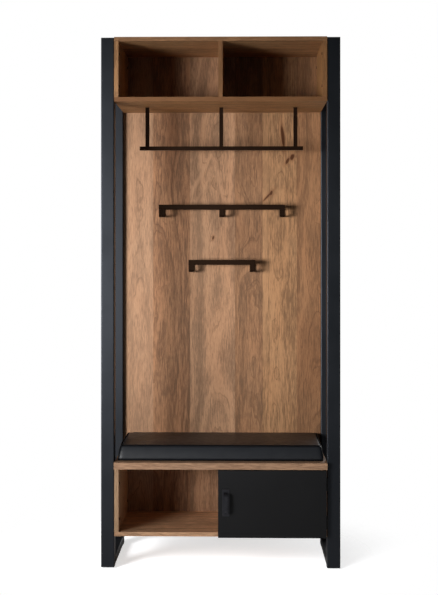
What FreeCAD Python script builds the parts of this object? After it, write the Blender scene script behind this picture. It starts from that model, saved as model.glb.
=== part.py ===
import FreeCAD, Part
import math
import os

from FreeCAD import Vector

# A hall tree: two open steel side frames carry a wooden back panel, an open
# box on top, and a bench box with a loose cushion and a hinged door.
# Coats hang on a rail under the top box and on two hook rails on the panel.
#
# Millimetres. X runs across the width, +Y points to the back, +Z is up.
# The origin lies on the floor, under the middle of the overall box.
# Depths are measured backwards from the front faces of the posts.

# ---------------------------------------------------------------- sizes

overall_width = 900.0
overall_height = 2000.0
frame_depth = 400.0

# side frames, welded from steel tube
post_width = 50.0
post_depth = 50.0
runner_height = 30.0
tube_wall = 2.0
tube_corner = 4.0
cap_head = 3.0
cap_plug = 12.0
cap_clearance = 0.3
foot_plate_thickness = 4.0
glide_height = 5.0
glide_radius = 9.0
glide_edge = 1.5
glide_stem_radius = 4.0
glide_stem_length = 24.0

# wooden boards
board = 16.0
box_height = 242.0
box_rise = 2.0
box_front = -4.0
bench_bottom_z = 122.0
bench_top_z = 402.0
bench_top_thickness = 25.0
bench_front = 0.0
dowel_radius = 4.0
dowel_length = 30.0
dowel_in_board = 10.0
dowel_end_distance = 62.0

# back panel, glued up from upright planks; the joints are given across X
panel_thickness = 18.0
panel_recess = 12.0
plank_joints = [-280.0, -130.0, 53.0, 165.0, 303.0]

# steel tabs that hold the panel to the rear posts
tab_reach = 30.0
tab_height = 40.0
tab_thickness = 3.0
tab_end_distance = 160.0
tab_screw_radius = 2.0
tab_screw_depth = 14.0
tab_head_radius = 4.5
tab_head_height = 2.2

# bolts through the boxes into the posts
bolt_radius = 3.0
bolt_clearance = 0.25
bolt_tail = 8.0
bolt_head_radius = 5.5
bolt_head_height = 3.0
bolt_edge_distance = 60.0
bolt_rear_setback = 8.0
head_round_share = 0.6

# hanging rail under the top box
rail_bar = 15.0
rail_length = 640.0
rod_length = 152.5
rod_spacing = 290.0
rod_count = 3
rail_depth = 198.0
stud_radius = 3.0
stud_in_board = 12.0
stud_in_rod = 20.0

# hook rails on the back panel
hook_bar = 20.0
hook_bar_standoff = 47.0
hook_width = 20.0
hook_thickness = 6.0
hook_bend = 5.0
hook_drop = 29.0
upper_hooks_length = 506.0
upper_hooks_count = 3
upper_hooks_z = 1362.0
lower_hooks_length = 266.0
lower_hooks_count = 2
lower_hooks_z = 1140.5
hook_bolt_radius = 2.5
hook_bolt_grip = 5.0
hook_bolt_head_radius = 5.0
hook_bolt_head_height = 3.0

# door
door_gap = 3.0
door_thickness = 18.0
door_left = -9.0
door_side_clearance = 3.0
door_edge_round = 1.0

# door hinges
leaf_thickness = 1.2
leaf_height = 50.0
leaf_width = 11.0
knuckle_radius = 2.7
knuckle_setback = 3.2
knuckle_end_height = 15.0
knuckle_gap = 0.3
pin_radius = 1.5
pin_clearance = 0.05
hinge_end_distance = 30.0
hinge_screw_radius = 1.5
hinge_screw_depth = 12.0
hinge_screw_head_radius = 2.8
hinge_screw_edge = 12.0

# door pull
pull_plate_width = 28.0
pull_plate_height = 100.0
pull_plate_thickness = 2.5
pull_plate_corner = 4.0
pull_left = 6.0
pull_centre_z = 253.0
grip_width = 14.0
grip_thickness = 5.0
grip_reach = 24.0
grip_height = 76.0
grip_bend = 7.0
pull_screw_radius = 1.75
pull_screw_grip = 9.0
pull_screw_head_radius = 3.5
pull_screw_head_height = 2.0

# magnetic catch and bumpers
catch_width = 14.0
catch_depth = 15.0
catch_height = 40.0
catch_top_gap = 25.0
catch_nose = 1.2
catch_corner = 2.0
strike_thickness = 1.5
strike_margin = 1.0
catch_screw_radius = 1.5
catch_screw_depth = 10.0
catch_screw_head_radius = 2.8
catch_screw_spacing = 24.0
bumper_radius = 4.0
bumper_height = 2.7
bumper_end_distance = 28.0

# cushion
cushion_height = 58.0
cushion_side_gap = 8.0
cushion_front = 14.0
cushion_back_gap = 3.0
cushion_lift = 0.3
cushion_corner = 22.0
cushion_edge = 14.0
cushion_lower_edge = 5.0

# ------------------------------------------------------------ positions

front_reach = door_gap + door_thickness + pull_plate_thickness + grip_reach
front_y = -(frame_depth - front_reach) / 2

outer_x = overall_width / 2
inner_x = outer_x - post_width
post_top_z = overall_height - box_rise
tube_top_z = post_top_z - cap_head
panel_front = frame_depth - panel_recess - panel_thickness
panel_back = panel_front + panel_thickness
box_bottom_z = overall_height - box_height
bench_board_top_z = bench_top_z - bench_top_thickness
rail_top_z = box_bottom_z - rod_length
rail_bottom_z = rail_top_z - rail_bar

tolerance = 1e-6
nodes = {}


# -------------------------------------------------------------- helpers

def block(x, depth, z):
    """Square-edged block from its low and high limits; depth is from the posts' front."""
    corner = Vector(x[0], front_y + depth[0], z[0])
    return Part.makeBox(x[1] - x[0], depth[1] - depth[0], z[1] - z[0], corner)


def rod(radius, length, x, depth, z, direction):
    """Round bar that starts at a point and runs along a direction."""
    return Part.makeCylinder(radius, length, Vector(x, front_y + depth, z), direction)


def edges_along(shape, direction):
    """Straight edges of a shape that run along a direction."""
    found = []
    for edge in shape.Edges:
        run = edge.Vertexes[-1].Point - edge.Vertexes[0].Point
        if run.Length > 0 and abs(abs(run.normalize() * direction) - 1) < tolerance:
            found.append(edge)
    return found


def rounded(shape, radius, direction):
    """Round the edges that run along a direction."""
    return shape.makeFillet(radius, edges_along(shape, direction))


def square_tube(x, depth, z, direction):
    """Rectangular tube with rounded corners, open at both ends along a direction."""
    inset = [tube_wall * (1 - abs(part)) for part in direction]
    outer = rounded(block(x, depth, z), tube_corner, direction)
    bore = rounded(
        block(
            (x[0] + inset[0], x[1] - inset[0]),
            (depth[0] + inset[1], depth[1] - inset[1]),
            (z[0] + inset[2], z[1] - inset[2]),
        ),
        tube_corner - tube_wall,
        direction,
    )
    return outer.cut(bore)


def screw(radius, length, head_radius, head_height, start, direction):
    """Screw with a round head; start is the point where the head meets the work."""
    shank = Part.makeCylinder(radius, length, start, direction)
    back = direction * -1
    head = Part.makeCylinder(head_radius, head_height, start, back)
    top = start + back * head_height
    rim = [edge for edge in head.Edges if edge.CenterOfMass.distanceToPoint(top) < tolerance]
    head = head.makeFillet(head_height * head_round_share, rim)
    return shank.fuse(head).removeSplitter()


def flush_screw(radius, length, head_radius, start, direction):
    """Countersunk screw; start is the centre of its flat head."""
    cone_length = head_radius - radius
    head = Part.makeCone(head_radius, radius, cone_length, start, direction)
    shank = Part.makeCylinder(radius, length, start, direction)
    return head.fuse(shank).removeSplitter()


def bent_strap(corners, thickness, width, bend):
    """Flat bar bent in the depth-height plane along a line of (depth, z) corners."""
    points = [Vector(0, front_y + depth, z) for depth, z in corners]
    radius = bend + thickness / 2
    edges = []
    last = points[0]
    for before, corner, after in zip(points, points[1:], points[2:]):
        way_in = (corner - before).normalize()
        way_out = (after - corner).normalize()
        turn = way_in.getAngle(way_out)
        trim = radius * math.tan(turn / 2)
        start = corner - way_in * trim
        end = corner + way_out * trim
        inward = (way_out - way_in).normalize()
        middle = corner + inward * (radius / math.cos(turn / 2) - radius)
        edges.append(Part.LineSegment(last, start).toShape())
        edges.append(Part.Arc(start, middle, end).toShape())
        last = end
    edges.append(Part.LineSegment(last, points[-1]).toShape())
    path = Part.Wire(edges)
    way = (points[1] - points[0]).normalize()
    side = Vector(1, 0, 0)
    across = way.cross(side)
    rim = []
    for along_side, along_across in ((-1, -1), (1, -1), (1, 1), (-1, 1), (-1, -1)):
        offset = side * (along_side * width / 2) + across * (along_across * thickness / 2)
        rim.append(points[0] + offset)
    profile = Part.makePolygon(rim)
    return path.makePipeShell([profile], True, False)


def moved_to(shape, x):
    """Copy of a shape that was made at the middle, moved to one place across the width."""
    copy = shape.copy()
    copy.translate(Vector(x, 0, 0))
    return copy


def group(name, solids):
    """Put separate solids into one node."""
    nodes[name] = Part.makeCompound(solids)


# ---------------------------------------------------------- side frames

RIGHT = Vector(1, 0, 0)
BACK = Vector(0, 1, 0)
UP = Vector(0, 0, 1)
SIDES = {"left": -1, "right": 1}

post_depths = {"front": (0.0, post_depth), "rear": (frame_depth - post_depth, frame_depth)}

# front-to-back places of the bolts that hold a box to the posts
bolt_depths = [post_depth / 2, panel_front - bolt_rear_setback]
box_bolt_heights = [box_bottom_z + bolt_edge_distance, overall_height - bolt_edge_distance]
bench_bolt_heights = [bench_bottom_z + bolt_edge_distance, bench_board_top_z - bolt_edge_distance]


def span_x(sign, near, far):
    """X limits of a piece on one side, given its distances from the middle."""
    return tuple(sorted((sign * near, sign * far)))


def side_bolts(heights):
    """Bolts from inside a box, through its side, into the inner walls of the posts."""
    bolts = []
    for sign in SIDES.values():
        for depth in bolt_depths:
            for z in heights:
                start = Vector(sign * (inner_x - board), front_y + depth, z)
                way = RIGHT * sign
                length = board + tube_wall + bolt_tail
                bolts.append(screw(bolt_radius, length, bolt_head_radius, bolt_head_height, start, way))
    return bolts


def side_bolt_holes(heights, radius):
    """Cutters for the bolts' holes, from the box's inside to beyond the post's wall."""
    holes = []
    for sign in SIDES.values():
        for depth in bolt_depths:
            for z in heights:
                length = board + tube_wall + bolt_tail
                holes.append(rod(radius, length, sign * (inner_x - board), depth, z, RIGHT * sign))
    return Part.makeCompound(holes)


post_holes = side_bolt_holes(box_bolt_heights + bench_bolt_heights, bolt_radius)
caps = []
foot_plates = []
glides = []

for side, sign in SIDES.items():
    tube_x = span_x(sign, inner_x, outer_x)
    middle_x = sign * (inner_x + outer_x) / 2
    for place, depths in post_depths.items():
        post = square_tube(tube_x, depths, (glide_height, tube_top_z), UP)
        nodes[f"{side}_{place}_post"] = post.cut(post_holes)

        middle_depth = sum(depths) / 2
        head = rounded(block(tube_x, depths, (tube_top_z, post_top_z)), tube_corner, UP)
        inset = tube_wall + cap_clearance
        plug = block(
            (tube_x[0] + inset, tube_x[1] - inset),
            (depths[0] + inset, depths[1] - inset),
            (tube_top_z - cap_plug, tube_top_z),
        )
        plug = rounded(plug, tube_corner - tube_wall, UP)
        caps.append(head.fuse(plug).removeSplitter())

        plate = block(
            (tube_x[0] + tube_wall, tube_x[1] - tube_wall),
            (depths[0] + tube_wall, depths[1] - tube_wall),
            (glide_height, glide_height + foot_plate_thickness),
        )
        plate = rounded(plate, tube_corner - tube_wall, UP)
        stem = rod(glide_stem_radius, glide_stem_length, middle_x, middle_depth, glide_height, UP)
        foot_plates.append(plate.cut(stem))

        pad = rod(glide_radius, glide_height, middle_x, middle_depth, 0, UP)
        floor_rim = [edge for edge in pad.Edges if edge.CenterOfMass.z < tolerance]
        glides.append(pad.makeChamfer(glide_edge, floor_rim).fuse(stem).removeSplitter())

    between = (post_depths["front"][1], post_depths["rear"][0])
    nodes[f"{side}_floor_runner"] = square_tube(
        tube_x, between, (glide_height, glide_height + runner_height), BACK
    )
    nodes[f"{side}_top_rail"] = square_tube(
        tube_x, between, (tube_top_z - runner_height, tube_top_z), BACK
    )

group("post_caps", caps)
group("foot_plates", foot_plates)
group("floor_glides", glides)


# ---------------------------------------------------------- wooden boxes

def dowel_depths(front):
    """Front, middle and rear places of the dowels in a box joint."""
    first = front + dowel_end_distance
    last = panel_front - dowel_end_distance
    return [first, (first + last) / 2, last]


def joint_dowels(front, upright_x, lower_face_z, upper_face_z):
    """Dowels that stand in the top and bottom boards and in the ends of the uprights."""
    dowels = []
    in_upright = dowel_length - dowel_in_board
    for x in upright_x:
        for depth in dowel_depths(front):
            dowels.append(rod(dowel_radius, dowel_length, x, depth, lower_face_z - dowel_in_board, UP))
            dowels.append(rod(dowel_radius, dowel_length, x, depth, upper_face_z - in_upright, UP))
    return dowels


upright_x = {"left_side": -(inner_x - board / 2), "divider": 0.0, "right_side": inner_x - board / 2}
clear_radius = bolt_radius + bolt_clearance


def wooden_box(name, front, low_z, high_z, top, bolt_heights):
    """Open-fronted box: three uprights between a bottom board and a top board."""
    bottom_z = (low_z, low_z + board)
    upright_z = (bottom_z[1], high_z - top["thickness"])
    dowels = joint_dowels(front, upright_x.values(), upright_z[0], upright_z[1])
    dowel_holes = Part.makeCompound(dowels)
    bolt_holes = side_bolt_holes(bolt_heights, clear_radius)
    across = (-inner_x, inner_x)
    bottom = block(across, (front, panel_front), bottom_z)
    lid = block(across, (top["front"], panel_front), (upright_z[1], high_z))
    nodes[f"{name}_bottom"] = bottom.cut(dowel_holes)
    nodes[top["name"]] = lid.cut(dowel_holes)
    for piece, x in upright_x.items():
        upright = block((x - board / 2, x + board / 2), (front, panel_front), upright_z)
        nodes[f"{name}_{piece}"] = upright.cut(dowel_holes).cut(bolt_holes)
    group(f"{name}_dowels", dowels)
    group(f"{name}_bolts", side_bolts(bolt_heights))


box_lid = {"name": "box_top", "thickness": board, "front": box_front}
wooden_box("box", box_front, box_bottom_z, overall_height, box_lid, box_bolt_heights)

bench_lid = {
    "name": "bench_top",
    "thickness": bench_top_thickness,
    "front": bench_front - door_gap - door_thickness,
}
wooden_box("bench", bench_front, bench_bottom_z, bench_top_z, bench_lid, bench_bolt_heights)


# ---------------------------------------------------------- hanging rail

rod_x = [(index - (rod_count - 1) / 2) * rod_spacing for index in range(rod_count)]


def hanging_rail():
    """Square bar on three square rods that stand on studs in the top box's bottom board."""
    half = rail_bar / 2
    depth = (rail_depth - half, rail_depth + half)
    reach = rail_length / 2
    nodes["hanging_rail_bar"] = block((-reach, reach), depth, (rail_bottom_z, rail_top_z))
    rods = []
    studs = []
    for x in rod_x:
        length = stud_in_board + stud_in_rod
        stud = rod(stud_radius, length, x, rail_depth, box_bottom_z - stud_in_rod, UP)
        studs.append(stud)
        rods.append(block((x - half, x + half), depth, (rail_top_z, box_bottom_z)).cut(stud))
    group("hanging_rail_rods", rods)
    group("hanging_rail_studs", studs)
    nodes["box_bottom"] = nodes["box_bottom"].cut(Part.makeCompound(studs))


hanging_rail()


# ----------------------------------------------------------- hook rails

def hook_places(length, count):
    """X places of the hooks: the outer ones end flush with the bar."""
    reach = (length - hook_width) / 2
    return [-reach + 2 * reach * index / (count - 1) for index in range(count)]


def hook_rail(name, length, count, bar_z):
    """Square bar across the tips of bent hooks; the hooks' backs lie on the panel."""
    bar_back = panel_front - hook_bar_standoff
    bar_depth = (bar_back - hook_bar, bar_back)
    nodes[f"{name}_bar"] = block((-length / 2, length / 2), bar_depth, (bar_z, bar_z + hook_bar))

    half = hook_thickness / 2
    tip = sum(bar_depth) / 2
    back = panel_front - half
    bottom = bar_z - hook_drop + half
    corners = [(back, bar_z + hook_bar), (back, bottom), (tip, bottom), (tip, bar_z)]
    hook = bent_strap(corners, hook_thickness, hook_width, hook_bend)
    hooks = []
    bolts = []
    for x in hook_places(length, count):
        start = Vector(x, front_y + panel_back, bar_z)
        grip = panel_thickness + hook_bolt_grip
        bolt = screw(
            hook_bolt_radius, grip, hook_bolt_head_radius, hook_bolt_head_height, start, BACK * -1
        )
        bolts.append(bolt)
        hooks.append(moved_to(hook, x).cut(bolt))
    group(f"{name}_hooks", hooks)
    return bolts


hook_bolts = hook_rail("upper_hook_rail", upper_hooks_length, upper_hooks_count, upper_hooks_z)
hook_bolts += hook_rail("lower_hook_rail", lower_hooks_length, lower_hooks_count, lower_hooks_z)
group("hook_rail_bolts", hook_bolts)


# ----------------------------------------------------------- back panel

def panel_tabs():
    """Steel tabs on the rear posts, with screws into the back of the panel."""
    first = bench_bottom_z + tab_end_distance
    last = overall_height - tab_end_distance
    tabs = []
    screws = []
    for sign in SIDES.values():
        for z in (first, (first + last) / 2, last):
            tab_x = span_x(sign, inner_x - tab_reach, inner_x)
            tab_depth = (panel_back, panel_back + tab_thickness)
            tab = block(tab_x, tab_depth, (z - tab_height / 2, z + tab_height / 2))
            start = Vector(sum(tab_x) / 2, front_y + tab_depth[1], z)
            length = tab_thickness + tab_screw_depth
            fixing = screw(
                tab_screw_radius, length, tab_head_radius, tab_head_height, start, BACK * -1
            )
            tabs.append(tab.cut(fixing))
            screws.append(fixing)
    group("panel_tabs", tabs)
    group("panel_screws", screws)
    return screws


def back_panel():
    """Upright planks, glued edge to edge between the rear posts."""
    holes = Part.makeCompound(hook_bolts + panel_tabs())
    edges = [-inner_x] + plank_joints + [inner_x]
    for number, (left, right) in enumerate(zip(edges, edges[1:]), start=1):
        plank = block((left, right), (panel_front, panel_back), (bench_bottom_z, overall_height))
        nodes[f"back_plank_{number}"] = plank.cut(holes)


back_panel()


# ----------------------------------------------------------------- door

door_right = inner_x - door_side_clearance
door_bottom_z = bench_bottom_z
door_top_z = bench_board_top_z - door_side_clearance
door_back = bench_front - door_gap
door_face = door_back - door_thickness
axis_x = door_right + knuckle_setback
axis_depth = bench_front - knuckle_setback
hinge_z = [
    door_bottom_z + hinge_end_distance,
    door_top_z - hinge_end_distance - leaf_height,
]


def knuckle_spans(z):
    """Heights of the lower, middle and upper knuckles of a hinge that starts at z."""
    low = (z, z + knuckle_end_height)
    high = (z + leaf_height - knuckle_end_height, z + leaf_height)
    middle = (low[1] + knuckle_gap, high[0] - knuckle_gap)
    return low, middle, high


def hinge_leaf(z, depth, spans, bore_radius):
    """Flat leaf with a finger out to the axis, and a knuckle, at each given height."""
    left = door_right - leaf_width
    leaf = block((left, door_right), depth, (z, z + leaf_height))
    for span in spans:
        leaf = leaf.fuse(block((door_right, axis_x), depth, span))
        leaf = leaf.fuse(rod(knuckle_radius, span[1] - span[0], axis_x, axis_depth, span[0], UP))
    bore = rod(bore_radius, leaf_height, axis_x, axis_depth, z, UP)
    return leaf.cut(bore).removeSplitter()


def hinges():
    """Two butt hinges between the bench's right side and the back of the door."""
    fixed_leaves = []
    door_leaves = []
    pins = []
    fixed_screws = []
    door_screws = []
    screw_x = door_right - leaf_width / 2
    fixed_depth = (bench_front - leaf_thickness, bench_front)
    moving_depth = (door_back, door_back + leaf_thickness)
    for z in hinge_z:
        low, middle, high = knuckle_spans(z)
        fixed = hinge_leaf(z, fixed_depth, (low, high), pin_radius)
        moving = hinge_leaf(z, moving_depth, (middle,), pin_radius + pin_clearance)
        for screw_z in (z + hinge_screw_edge, z + leaf_height - hinge_screw_edge):
            into_bench = Vector(screw_x, front_y + fixed_depth[0], screw_z)
            into_door = Vector(screw_x, front_y + moving_depth[1], screw_z)
            fixed_screw = flush_screw(
                hinge_screw_radius, hinge_screw_depth, hinge_screw_head_radius, into_bench, BACK
            )
            door_screw = flush_screw(
                hinge_screw_radius, hinge_screw_depth, hinge_screw_head_radius, into_door, BACK * -1
            )
            fixed = fixed.cut(fixed_screw)
            moving = moving.cut(door_screw)
            fixed_screws.append(fixed_screw)
            door_screws.append(door_screw)
        fixed_leaves.append(fixed)
        door_leaves.append(moving)
        pins.append(rod(pin_radius, leaf_height, axis_x, axis_depth, z, UP))
    group("hinge_fixed_leaves", fixed_leaves)
    group("hinge_door_leaves", door_leaves)
    group("hinge_pins", pins)
    group("hinge_fixed_screws", fixed_screws)
    group("hinge_door_screws", door_screws)
    nodes["bench_right_side"] = nodes["bench_right_side"].cut(Part.makeCompound(fixed_screws))
    return door_screws


def door_pull():
    """Backplate with a bent grip, held by two screws from inside the door."""
    middle_x = pull_left + pull_plate_width / 2
    plate_front = door_face - pull_plate_thickness
    half_height = pull_plate_height / 2
    plate = block(
        (pull_left, pull_left + pull_plate_width),
        (plate_front, door_face),
        (pull_centre_z - half_height, pull_centre_z + half_height),
    )
    plate = rounded(plate, pull_plate_corner, BACK)
    reach = plate_front - grip_reach + grip_thickness / 2
    foot_offset = (grip_height - grip_thickness) / 2
    low = pull_centre_z - foot_offset
    high = pull_centre_z + foot_offset
    corners = [(plate_front, low), (reach, low), (reach, high), (plate_front, high)]
    grip = moved_to(bent_strap(corners, grip_thickness, grip_width, grip_bend), middle_x)
    screws = []
    for z in (low, high):
        start = Vector(middle_x, front_y + door_back, z)
        length = door_thickness + pull_plate_thickness + pull_screw_grip
        screws.append(
            screw(
                pull_screw_radius, length, pull_screw_head_radius, pull_screw_head_height,
                start, BACK * -1,
            )
        )
    holes = Part.makeCompound(screws)
    nodes["pull_plate"] = plate.cut(holes)
    nodes["pull_grip"] = grip.cut(holes)
    group("pull_screws", screws)
    return screws


def catch_and_strike():
    """Magnetic catch on the divider, its strike plate on the door, and their screws."""
    low_x = board / 2
    top_z = bench_board_top_z - catch_top_gap
    body_z = (top_z - catch_height, top_z)
    body_depth = (bench_front - catch_nose, bench_front + catch_depth)
    body = rounded(block((low_x, low_x + catch_width), body_depth, body_z), catch_corner, RIGHT)
    strike_x = (low_x + strike_margin, low_x + catch_width - strike_margin)
    strike_depth = (door_back, door_back + strike_thickness)
    strike = rounded(block(strike_x, strike_depth, body_z), catch_corner, BACK)
    middle_z = sum(body_z) / 2
    catch_screws = []
    strike_screws = []
    for z in (middle_z - catch_screw_spacing / 2, middle_z + catch_screw_spacing / 2):
        into_divider = Vector(low_x + catch_width, front_y + bench_front + catch_depth / 2, z)
        into_door = Vector(sum(strike_x) / 2, front_y + strike_depth[1], z)
        catch_screws.append(
            flush_screw(
                catch_screw_radius, catch_width + catch_screw_depth, catch_screw_head_radius,
                into_divider, RIGHT * -1,
            )
        )
        strike_screws.append(
            flush_screw(
                catch_screw_radius, catch_screw_depth, catch_screw_head_radius, into_door, BACK * -1
            )
        )
    catch_holes = Part.makeCompound(catch_screws)
    nodes["magnetic_catch"] = body.cut(catch_holes)
    nodes["bench_divider"] = nodes["bench_divider"].cut(catch_holes)
    nodes["strike_plate"] = strike.cut(Part.makeCompound(strike_screws))
    group("catch_screws", catch_screws)
    group("strike_screws", strike_screws)
    return strike_screws


def bumpers():
    """Two soft buttons on the divider's front edge, just short of the closed door."""
    heights = (door_bottom_z + bumper_end_distance, door_top_z - bumper_end_distance)
    group(
        "door_bumpers",
        [rod(bumper_radius, bumper_height, 0.0, bench_front, z, BACK * -1) for z in heights],
    )


def door():
    """Flat door panel with its hardware's holes."""
    panel = block((door_left, door_right), (door_face, door_back), (door_bottom_z, door_top_z))
    panel = rounded(panel, door_edge_round, UP)
    hardware = hinges() + door_pull() + catch_and_strike()
    nodes["door_panel"] = panel.cut(Part.makeCompound(hardware))


door()
bumpers()


# -------------------------------------------------------------- cushion

def cushion():
    """Plain closed pad that lies loose on the bench between the posts."""
    low_z = bench_top_z + cushion_lift
    high_z = bench_top_z + cushion_height
    half = inner_x - cushion_side_gap
    pad = block(
        (-half, half),
        (cushion_front, panel_front - cushion_back_gap),
        (low_z, high_z),
    )
    pad = rounded(pad, cushion_corner, UP)
    top = [edge for edge in pad.Edges if edge.CenterOfMass.z > high_z - tolerance]
    pad = pad.makeFillet(cushion_edge, top)
    bottom = [edge for edge in pad.Edges if edge.CenterOfMass.z < low_z + tolerance]
    nodes["seat_cushion"] = pad.makeFillet(cushion_lower_edge, bottom)


cushion()


# --------------------------------------------------------------- output

os.makedirs("parts", exist_ok=True)
for name, shape in nodes.items():
    shape.exportStep(f"parts/{name}.step")

print(len(nodes), "nodes,", sum(len(shape.Solids) for shape in nodes.values()), "solids")
print("door hinge axis at x", axis_x, "y", front_y + axis_depth)
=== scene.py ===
# %% [markdown]
# # Looks for a hall tree
#
# The hall tree is a tall piece of hallway furniture: two steel side frames, a
# back of glued planks, a box on top, three black rails for coats, and a bench
# with a door and a leather cushion. The steel and wooden parts arrive ready
# made from the CAD model, so this lesson gives each of them a finish, and
# builds the one soft piece, the cushion. Then it sets up a plain studio.
#
# Everything is in metres. X runs across the width, +Y to the back, +Z up.

# %% Load the CAD model
import math

import bpy
import numpy as np
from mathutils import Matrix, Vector
from mathutils.bvhtree import BVHTree


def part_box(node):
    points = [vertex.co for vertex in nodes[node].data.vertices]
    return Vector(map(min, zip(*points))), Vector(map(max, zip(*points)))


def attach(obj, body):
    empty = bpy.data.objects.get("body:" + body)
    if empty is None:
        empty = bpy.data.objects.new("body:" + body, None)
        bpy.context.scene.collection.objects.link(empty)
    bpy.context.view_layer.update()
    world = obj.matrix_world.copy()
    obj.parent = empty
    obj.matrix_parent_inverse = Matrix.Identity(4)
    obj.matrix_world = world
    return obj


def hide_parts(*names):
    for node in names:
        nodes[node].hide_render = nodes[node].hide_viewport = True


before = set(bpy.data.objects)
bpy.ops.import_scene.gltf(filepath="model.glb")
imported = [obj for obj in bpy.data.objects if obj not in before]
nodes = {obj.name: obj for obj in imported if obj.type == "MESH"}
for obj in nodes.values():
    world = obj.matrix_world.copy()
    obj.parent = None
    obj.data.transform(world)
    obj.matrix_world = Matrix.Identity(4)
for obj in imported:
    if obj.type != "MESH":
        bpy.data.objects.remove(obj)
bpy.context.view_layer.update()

# %% [markdown]
# ## Small helpers
#
# Colours are written as on a paint card, in sRGB hex. A renderer adds up light,
# so it needs linear values: one function turns the one into the other.
#
# A material is a tree of nodes. One small function adds a node of any kind,
# with its own options and its inputs, and links whatever is already a node.
# The same few options come back in many places, so they have names.
#
# Patterns read Object coordinates, which are metres here. So a pattern that
# repeats every few millimetres has a scale of 1000 divided by that length.

# %% Colour and node helpers
PRODUCT = {"operation": "MULTIPLY"}
SUM = {"operation": "ADD"}
PRODUCT_SUM = {"operation": "MULTIPLY_ADD"}         # input 0 times input 1, plus input 2
LENGTH = {"operation": "LENGTH"}
SOFT_STEP = {"interpolation_type": "SMOOTHSTEP"}    # a map range that eases in and out
COLOURS = {"data_type": "RGBA"}                     # a mix of inputs 6 and 7, in output 2


def colour(code):
    """Linear colour from sRGB hex: below 0.04045 divide by 12.92, above it ((c + 0.055) / 1.055) ^ 2.4."""
    part = np.array([int(code[i : i + 2], 16) for i in (1, 3, 5)]) / 255
    part = np.where(part <= 0.04045, part / 12.92, ((part + 0.055) / 1.055) ** 2.4)
    return (*part.tolist(), 1.0)


def add(tree, kind, options=None, inputs=None):
    """One shader node; inputs that are nodes or sockets are linked, and the rest are set."""
    node = tree.nodes.new("ShaderNode" + kind)
    for name, value in (options or {}).items():
        setattr(node, name, value)
    for socket, value in (inputs or {}).items():
        if isinstance(value, bpy.types.Node):
            value = value.outputs[0]
        if isinstance(value, bpy.types.NodeSocket):
            tree.links.new(value, node.inputs[socket])
        else:
            node.inputs[socket].default_value = value
    return node


def blank_material(name):
    """Material with an empty node tree."""
    material = bpy.data.materials.new(name)
    material.use_nodes = True
    material.node_tree.nodes.clear()
    return material, material.node_tree


def mm(length):
    """Scale that repeats a pattern once in so many millimetres."""
    return 1000.0 / length


def dress(material, *names):
    """Gives a finish to CAD nodes by name."""
    for name in names:
        slots = nodes[name].data.materials
        slots.clear()
        slots.append(material)
    print(material.name, "on", len(names), "nodes")


print("bluish black in linear light:", [round(v, 4) for v in colour("#0f1113")])

# %% [markdown]
# ## Mango wood: growth rings
#
# Mango is a warm mid-brown wood, sawn flat, glued into wide panels, and sealed
# with a thin matt lacquer. Its figure comes from growth rings, so the pattern is
# made as the tree makes it: rings round a pith line that lies some centimetres
# behind the board, and wanders. Where the board's face cuts the rings, arches
# appear by themselves. An image of wood would be quicker, but it would repeat,
# and it would have to be fitted to each board.

# %% Growth rings
RING = 11          # mm from one dark ring line to the next
BAND = 26          # mm from one dark band of rings to the next
TAPER = 0.02       # m that the rings widen for each metre along the trunk
WANDER = 0.085     # m that the pith line wanders
WAVER = 0.014      # m that each ring wavers
WANDER_NOISE, WAVER_NOISE = (260, 620, 2), (38, 120, 3)    # mm across, mm long, detail


def grain_noise(tree, grain, across, length, detail, rough=0.5):
    """Clouds so many millimetres across and so many long: noise on scaled coordinates of the grain."""
    scaled = add(tree, "VectorMath", PRODUCT, {0: grain, 1: (mm(across), mm(across), mm(length))})
    return add(tree, "TexNoise", {}, {"Vector": scaled, "Scale": 1.0, "Detail": detail, "Roughness": rough})


def ring_distance(tree, grain, arches):
    """Distance from the pith line + taper along the board + slow wander + small waver."""
    across = add(tree, "VectorMath", PRODUCT, {0: grain, 1: (1.0, 1.0, 0.0)})
    radius = add(tree, "VectorMath", LENGTH, {0: across}).outputs["Value"]
    along = add(tree, "SeparateXYZ", {}, {0: grain}).outputs["Z"]
    ring = add(tree, "Math", PRODUCT_SUM, {0: along, 1: TAPER, 2: radius})
    wander = grain_noise(tree, grain, *WANDER_NOISE)
    ring = add(tree, "Math", PRODUCT_SUM, {0: wander, 1: WANDER * arches, 2: ring})
    waver = grain_noise(tree, grain, *WAVER_NOISE)
    return add(tree, "Math", PRODUCT_SUM, {0: waver, 1: WAVER, 2: ring})


print("rings every", RING, "mm, in bands every", BAND, "mm")

# %% [markdown]
# ## Mango wood: knots, cracks and streaks
#
# A knot is the foot of a branch. The rings bend round it, its own wood is nearly
# black, and resin stains the wood near it red-brown. Cracks look alike but are
# narrow; dark and pale streaks are only stains. All of them are drawn as soft
# ellipses with a ripple in their outline, at listed places.

# %% Marks
KNOT = 0.5                    # a mark darker than this is a knot or crack, and has a halo
HALO = (0.8, 2.8, 0.5)        # where it starts and ends, in ellipse radii, and how strong it is
BEND, BEND_MOST = 1.4, 0.012  # the rings bend by so many half widths; one counts as at most 12 mm
BEND_REACH = 3.0              # how far from a mark they bend, in ellipse radii
RIPPLE, RIPPLE_NOISE = 0.5, (18, 60, 2)    # in ellipse radii; mm across, mm long, detail
ANY_DEPTH = 1000.0            # a mark goes right through the board


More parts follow.
